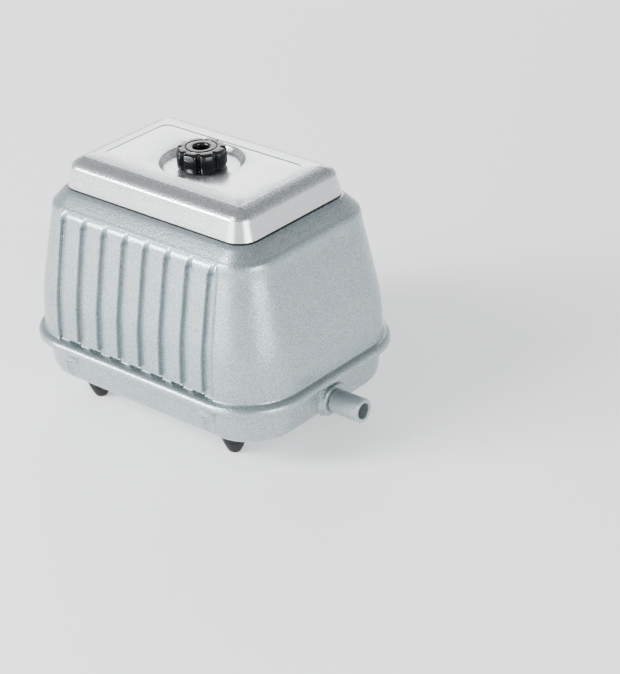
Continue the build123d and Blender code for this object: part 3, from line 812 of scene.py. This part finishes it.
@dataclass
class Cover(Piece):
    """Filter cover: drafted side, crowned rim, sunk panel, round dish and hub.

    Fields:
        panel_core: half sizes of the panel's core rectangle.
        slots, slot_pitch, slot_half, slot_top, slot_depth: the air slots in the back edge.
    """

    panel_core: tuple[float, float] = (67.2, 30.0)
    slot_half: float = 6.0
    slot_pitch: float = 22.0
    slots: int = 7
    slot_top: float = 189.7
    slot_depth: float = 2.2

    def slot_xs(self) -> list[float]:
        """The slots' middles."""
        return [(i - (self.slots - 1) / 2) * self.slot_pitch for i in range(self.slots)]

    def relief(self, station: Station, z: float) -> float:
        """Sinks the air slots into the back edge. Args and Returns as in Housing."""
        if station.side is not Side.BACK or z > self.slot_top:
            return 0.0
        near = min(abs(station.along - x) for x in self.slot_xs())
        return -self.slot_depth if near < self.slot_half else 0.0

    def rows(self) -> list[Row]:
        """The closed section, from the hub's bore out underneath, up the side and back to the bore."""
        hub = [(4.6, 190.3), (10, 190.3), (11.5, 202.1), (32.4, 202.1), (35.6, 207.2)]
        made = [Row(z, rho, circle=True) for rho, z in hub]
        inside = [(1.5, 207.6), (4.5, 206.8), (9.2, 203.4), (12.4, 196), (14.4, 188), (14.6, 186.6)]
        made += [Row(z, rho) for rho, z in inside]
        made += [Row(z, rho, relief=True) for rho, z in ((16.7, 186.6), (17.0, 186.9), (16.24, 189.6))]
        made += [Row(z, rho) for rho, z in ((16.2, 189.75), (15.11, 194), (14.1, 198), (13.38, 200.8))]
        crown = [(13.2, 201.5), (12.75, 202.9), (11.7, 204.5), (9.8, 206.3), (7.4, 207.7), (4.6, 208.9)]
        crown.append((1.2, 209.9))
        made += [Row(z, rho) for rho, z in smooth_curve(crown, 4)]
        panel = [(9.0, 210.3), (8.4, 210.42), (7.9, 210.38), (7.5, 210.15), (7.15, 209.98), (6.8, 209.93)]
        panel += [(6.4, 210.0), (5.6, 210.1)]
        made += [Row(z, rho, core=self.panel_core) for rho, z in panel]
        dish = [(35.0, 210.1), (34.4, 209.9), (33.9, 209.3), (33.2, 208.0), (31.4, 205.6), (30.6, 204.8)]
        dish += [(29.6, 204.5), (22, 204.5), (12, 204.5), (5.0, 204.5), (4.6, 204.1)]
        return made + [Row(z, rho, circle=True) for rho, z in dish]

    def draw(self, bm: bmesh.types.BMesh) -> None:
        """Sweeps the section round the plan."""
        offsets = [side * (self.slot_half + step) for side in (1, -1) for step in (-0.15, 0.15)]
        edges = [x + offset for x in self.slot_xs() for offset in offsets]
        xs = [*edges, *(x * 4.0 for x in range(-20, 21))]
        plan = Plan((81.7, 47.0), 17.0, xs, 24, tuple(range(5, 90, 5)))
        plan.sweep(bm, self.rows(), self.relief)


@dataclass
class Knob(Piece):
    """Lobed hand knob with a ring groove and a centre hole.

    Fields:
        lobes, outer, scoop: the lobes' number, their outer radius and how deep the scoops between them are.
        turn: where the first lobe points.
        steps: vertices round the knob.
    """

    lobes: int = 8
    outer: float = 20.0
    scoop: float = 3.3
    turn: float = math.radians(12)
    steps: int = 192

    def radius(self, angle: float) -> float:
        """The plan's radius at an angle: round lobes with scooped flanks."""
        wave = abs(math.cos((angle - self.turn) * self.lobes / 2))
        return self.outer - self.scoop * (1 - eased(wave / 0.62))

    def draw(self, bm: bmesh.types.BMesh) -> None:
        """Extrudes a circle from level to level and shapes each by the lobes."""
        # radius, level and share of the lobes
        levels = [(6.5, 206.0, 0), (16.5, 206.0, 0.7), (18.9, 206.0, 1), (19.6, 206.3, 1), (20, 207.2, 1),
                  (20, 211, 1), (20, 215.5, 1), (20, 219.0, 1), (19.75, 220.2, 1), (19.1, 221.0, 1),
                  (18.2, 221.5, 0.9), (16.6, 221.8, 0.55), (14.8, 221.95, 0.2), (13.3, 222, 0),
                  (13.0, 221.8, 0), (12.9, 221.2, 0), (12.6, 221, 0), (12.3, 221.2, 0), (12.1, 221.8, 0),
                  (11.8, 222, 0), (8.2, 222, 0), (7.4, 221.8, 0), (6.9, 221.3, 0), (6.5, 220.4, 0)]
        loop = bmesh.ops.create_circle(bm, segments=self.steps, radius=1.0)["verts"]
        edges = list({e for v in loop for e in v.link_edges})
        angles = [math.atan2(v.co.y, v.co.x) for v in loop]
        for index, (r, z, share) in enumerate([*levels, levels[0]]):
            if index:
                loop, edges = extruded(bm, loop, edges)
            for v, angle in zip(loop, angles):
                radius = r - share * (self.outer - self.radius(angle))
                v.co = metres(radius * math.cos(angle), radius * math.sin(angle), z)


@dataclass
class Foot(Piece):
    """Tapered rubber foot with its pull-through barb."""

    centre: tuple[float, float] = (0.0, 0.0)

    def draw(self, bm: bmesh.types.BMesh) -> None:
        """Turns the foot's outline."""
        line = [(0, 0.5), (2.4, 0.5), (3, 0), (4.2, 0), (4.8, 0.3), (5.3, 1.0), (7.3, 4.6), (9.5, 9.8)]
        line += [(9.9, 11.2), (10, 12.4), (10.3, 13.0), (10.9, 13.4), (11, 14), (11, 24.2), (10.7, 24.8)]
        line += [(10, 25), (4, 25), (4, 28.7), (6.2, 28.7), (5.6, 31.5), (3, 34), (0, 34)]
        spin_about_z(bm, line, self.centre, 56)


@dataclass
class Diaphragm(Piece):
    """Rubber diaphragm: its rim stays with the pump and its clamped middle goes with the armature.

    Fields:
        side: 1 on the right and -1 on the left.
        axis_z: the armature's axis.
        face_x: the diaphragm's place along it.
        inner, outer: the radii between which the rubber bends.
    """

    side: int = 1
    axis_z: float = 112.0
    face_x: float = 50.0
    inner: float = 17.0
    outer: float = 29.6

    def draw(self, bm: bmesh.types.BMesh) -> None:
        """Turns the diaphragm's outline about the armature's axis."""
        under = [(17, 48.8), (19, 49.4), (21, 51.6), (23.5, 52.6), (26, 51.6), (28, 49.4), (29.6, 48.5)]
        over = [(28.8, 51), (27.8, 51.7), (26.3, 53.8), (23.5, 54.9), (20.2, 53.8), (18.2, 51.6), (17, 51)]
        line = [(4.05, 48.8), (10, 48.8), *smooth_curve(under, 3), (36, 48.5), (36, 51)]
        line += [*smooth_curve(over, 3), (10, 51), (4.05, 51)]
        verts = [bm.verts.new(metres(self.side * x, r, self.axis_z)) for r, x in line]
        edges = [bm.edges.new(pair) for pair in zip(verts, [*verts[1:], verts[0]])]
        bmesh.ops.spin(bm, geom=verts + edges, cent=metres(0, 0, self.axis_z), axis=(1, 0, 0),
                       angle=math.tau, steps=72, use_merge=True)

    def join(self, piece: bpy.types.Object) -> None:
        """Bends the object from the armature to the pump, by distance from the axis. Args as in Piece."""
        middle = self.side * self.face_x
        start, end = (metres(middle, radius, self.axis_z) for radius in (self.inner, self.outer))
        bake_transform(piece, "armature", self.body, start=start, end=end)
        weights = piece.data.attributes["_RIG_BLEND"].data
        for vertex, weight in zip(piece.data.vertices, weights):
            radius = math.hypot(vertex.co.y, vertex.co.z - self.axis_z * MM) / MM
            weight.value = eased((radius - self.inner) / (self.outer - self.inner))


@dataclass
class FilterPad(Piece):
    """Foam filter pad with softened edges and a hole for the hub."""

    half: tuple[float, float] = (89.0, 53.0)

    def draw(self, bm: bmesh.types.BMesh) -> None:
        """Sweeps a rounded block with a round hole through it."""
        core = (self.half[0] - 9, self.half[1] - 9)
        outer = [(7.6, 176.3), (8.6, 176.8), (9, 177.8), (9, 188), (9, 198.6), (8.6, 199.8), (7.4, 200.3)]
        rows = [Row(176.3, 14.2, circle=True)] + [Row(z, rho) for rho, z in outer]
        rows += [Row(200.3, 14.4, circle=True), Row(199.8, 13.6, circle=True), Row(176.9, 13.5, circle=True)]
        Plan(core, 9.0, (), 24, tuple(range(6, 90, 6))).sweep(bm, rows)


# ---- Studio ---------------------------------------------------------------------------------------------
@dataclass(frozen=True)
class Lamp:
    """One soft light."""

    name: str
    place: tuple[float, float, float]
    size: float
    watts: float

    def build(self, target: Vector) -> None:
        """Adds the light, aimed at the target.

        Args:
            target: the point it looks at.
        """
        light = bpy.data.lights.new(self.name, "AREA")
        light.size = self.size
        light.energy = self.watts
        lamp = bpy.data.objects.new(self.name, light)
        lamp.location = self.place
        lamp.rotation_euler = (target - lamp.location).to_track_quat("-Z", "Y").to_euler()
        bpy.context.scene.collection.objects.link(lamp)


@dataclass
class Studio:
    """Pale floor, soft lights, sky and the camera.

    Fields:
        azimuth, elevation, roll: how the camera looks at the pump.
        distance, offset, aim_z: how far off it is, how far aside, and the level that it turns about.
        lens: its focal length.
        lamps: the soft lights.
    """

    azimuth: float = math.radians(41.22)
    elevation: float = math.radians(28.43)
    roll: float = math.radians(-2.43)
    distance: float = 1742.26
    offset: tuple[float, float] = (81.87, -57.89)
    aim_z: float = 117.0
    lens: float = 114.84
    lamps: tuple[Lamp, ...] = (
        Lamp("key", (-0.7, -1.5, 1.5), 0.7, 34),
        Lamp("front_card", (-0.5, -2.1, 0.4), 1.4, 36),
        Lamp("side_card", (2.2, -0.5, 0.6), 1.3, 38),
        Lamp("back_card", (-1.3, 1.7, 1.0), 1.5, 25),
        Lamp("rib_card", (-1.30, -1.62, 0.92), 0.5, 50),
    )

    def floor(self) -> None:
        """Adds the wide, flat floor, which glows a little."""
        bm = bmesh.new()
        bmesh.ops.create_grid(bm, x_segments=1, y_segments=1, size=6.0)
        mesh = bpy.data.meshes.new("floor")
        bm.to_mesh(mesh)
        bm.free()
        ground = bpy.data.objects.new("floor", mesh)
        bpy.context.scene.collection.objects.link(ground)
        material = bpy.data.materials.new("studio_floor")
        material.use_nodes = True
        shader = material.node_tree.nodes["Principled BSDF"]
        shader.inputs["Base Color"].default_value = (0.95, 0.955, 0.96, 1)
        shader.inputs["Roughness"].default_value = 0.7
        shader.inputs["Emission Color"].default_value = (1, 1, 1, 1)
        shader.inputs["Emission Strength"].default_value = 0.45
        mesh.materials.append(material)

    def camera(self) -> None:
        """Adds the camera, turned, rolled and placed about the pump's middle."""
        back = Vector((math.sin(self.azimuth) * math.cos(self.elevation),
                       -math.cos(self.azimuth) * math.cos(self.elevation), math.sin(self.elevation)))
        right = Vector((math.cos(self.azimuth), math.sin(self.azimuth), 0))
        up = back.cross(right)
        across = math.cos(self.roll) * right + math.sin(self.roll) * up
        upright = -math.sin(self.roll) * right + math.cos(self.roll) * up
        data = bpy.data.cameras.new("camera")
        data.lens = self.lens
        camera = bpy.data.objects.new("camera", data)
        place = back * self.distance + across * self.offset[0] + upright * self.offset[1]
        place.z += self.aim_z
        turn = Matrix((across, upright, back)).transposed()
        camera.matrix_world = Matrix.Translation(metres(*place)) @ turn.to_4x4()
        bpy.context.scene.collection.objects.link(camera)
        bpy.context.scene.camera = camera

    def world(self) -> None:
        """Lights everything softly from all round."""
        world = bpy.data.worlds.new("studio")
        world.use_nodes = True
        graph = Graph(world.node_tree)
        sky = world.node_tree.nodes["Background"]
        height = graph.add("ShaderNodeSeparateXYZ")
        graph.link(graph.add("ShaderNodeTexCoord").outputs["Generated"], height.inputs[0])
        overhead = graph.ramp(height.outputs["Z"], 0.15, 0.85)
        graph.link(graph.mix(overhead, (1.0, 1.0, 1.0, 1.0), (0.30, 0.33, 0.35, 1.0)), sky.inputs["Color"])
        sky.inputs["Strength"].default_value = 1.1
        bpy.context.scene.world = world

    def build(self) -> None:
        """Sets the studio up."""
        self.floor()
        for lamp in self.lamps:
            lamp.build(metres(0, 0, 110))
        self.camera()
        self.world()


# ---- The pump -------------------------------------------------------------------------------------------
@dataclass
class AirPump:
    """The whole pump: its finishes, its modelled pieces and the CAD nodes that show as they are."""

    effects: Effects = field(default_factory=Effects)

    def pieces(self) -> Iterable[Piece]:
        """Yields each modelled piece."""
        yield Housing("upper_housing_skin", "pump", "hammered_paint", ("upper_housing",))
        yield Cover("filter_cover_skin", "cover", "cover_paint", ("filter_cover",))
        yield Knob("knob_skin", "knob", "black_gloss", ("knob",), 50.0)
        yield FilterPad("filter_foam", "filter", "foam", ("air_filter",))
        yield Diaphragm("diaphragm_skin_left", "pump", "black_rubber", ("diaphragm_left",), side=-1)
        yield Diaphragm("diaphragm_skin_right", "pump", "black_rubber", ("diaphragm_right",), side=1)
        for depth, y in (("front", -61.5), ("back", 61.5)):
            for hand, x in (("left", -75), ("right", 75)):
                place = f"{depth}_{hand}"
                yield Foot(f"foot_skin_{place}", "pump", "black_rubber", (f"foot_{place}",), 30.0, (x, y))

    def paint_nodes(self, materials: dict[str, bpy.types.Material]) -> None:
        """Gives every CAD node its slot's finish.

        Args:
            materials: the finishes by slot.
        """
        for part in frame["record"]["subparts"]:
            node = frame["nodes"][part["node"]]
            node.data.materials.clear()
            node.data.materials.append(materials[part["material_slot"]])

    def build(self) -> None:
        """Builds the pump's looks."""
        materials = {finish.slot: finish.build(self.effects) for finish in FINISHES}
        self.paint_nodes(materials)
        for piece in self.pieces():
            made = piece.build(materials)
            LOG.info("%s: %d faces, for %s", made.name, len(made.data.polygons), ", ".join(piece.stands_for))
            isinstance(piece, FilterPad)


def main() -> None:
    logging.basicConfig(level=logging.INFO, format="%(name)s: %(message)s")
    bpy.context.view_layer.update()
    AirPump().build()
    Studio().build()


if __name__ == "__main__":
    main()
